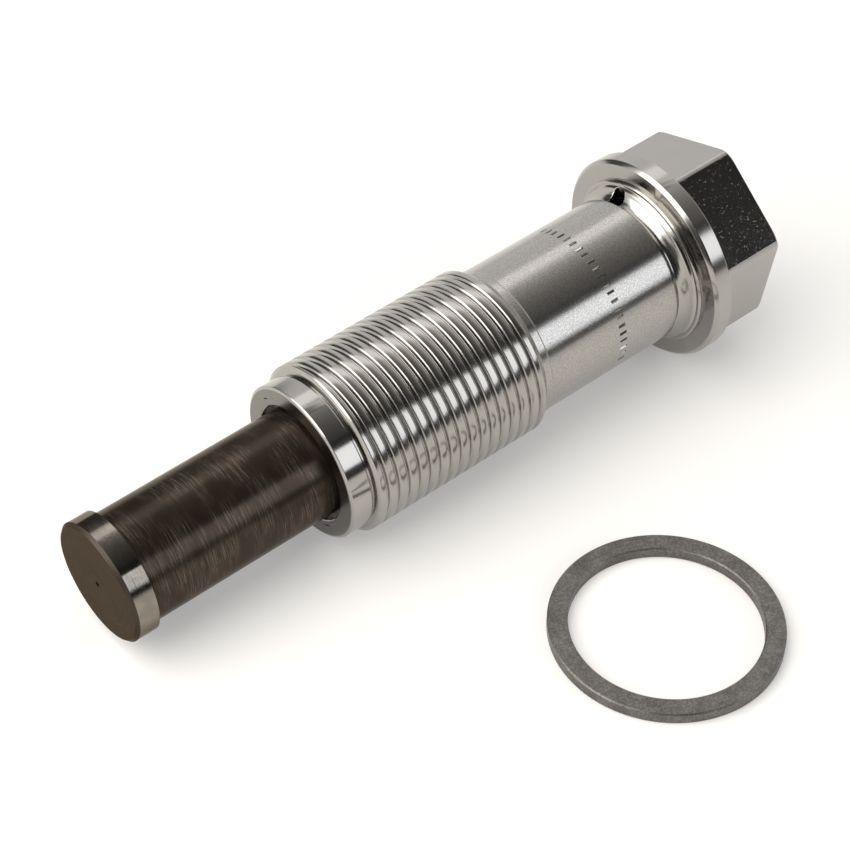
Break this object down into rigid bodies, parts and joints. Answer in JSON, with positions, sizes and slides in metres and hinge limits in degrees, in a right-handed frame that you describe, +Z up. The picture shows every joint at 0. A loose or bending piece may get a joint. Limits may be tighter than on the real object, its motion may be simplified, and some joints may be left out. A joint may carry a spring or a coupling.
{
  "type": "timing chain tensioner",
  "caption": "Screw-in hydraulic timing chain tensioner with a sprung plunger, check valve, hex head and a separate seal ring.",
  "frame": {"origin": "on the housing's axis at the flat seal face of the flange, the tensioner lying on its flange edge and thread", "axes": "+Z up, +X along the housing towards the plunger tip (the axis dips 3.0 degrees towards the tip), +Y towards the seal ring"},
  "size_m": [0.0927, 0.0649, 0.0267],
  "materials": {
    "turned_steel": "fine turned, bright",
    "dark_steel": "dark hardened, fine ground",
    "moulded_plastic": "matte",
    "spring_steel": "drawn wire",
    "ball_steel": "polished",
    "pressed_steel": "pressed, satin",
    "soft_aluminium": "satin"
  },
  "bodies": {
    "housing": {"housing": "turned_steel", "valve_seat": "turned_steel", "valve_cage": "pressed_steel", "valve_spring": "spring_steel", "main_spring": "spring_steel", "snap_ring": "spring_steel", "sealing_ring": "soft_aluminium"},
    "plunger": {"plunger": "dark_steel", "filler_plug": "moulded_plastic"},
    "check_ball": {"check_ball": "ball_steel"}
  },
  "joints": [
    {"name": "plunger_slide", "type": "slide", "parent": "housing", "child": "plunger", "axis": [0.9986, 0, -0.0524], "range_m": [-0.0245, 0], "stiffness_N_per_m": 1200, "springref_m": 0.02, "deforming": ["main_spring"]},
    {"name": "ball_lift", "type": "slide", "parent": "housing", "child": "check_ball", "axis": [0.9986, 0, -0.0524], "range_m": [0, 0.0006], "stiffness_N_per_m": 60, "springref_m": -0.001, "deforming": ["valve_spring"]}
  ]
}
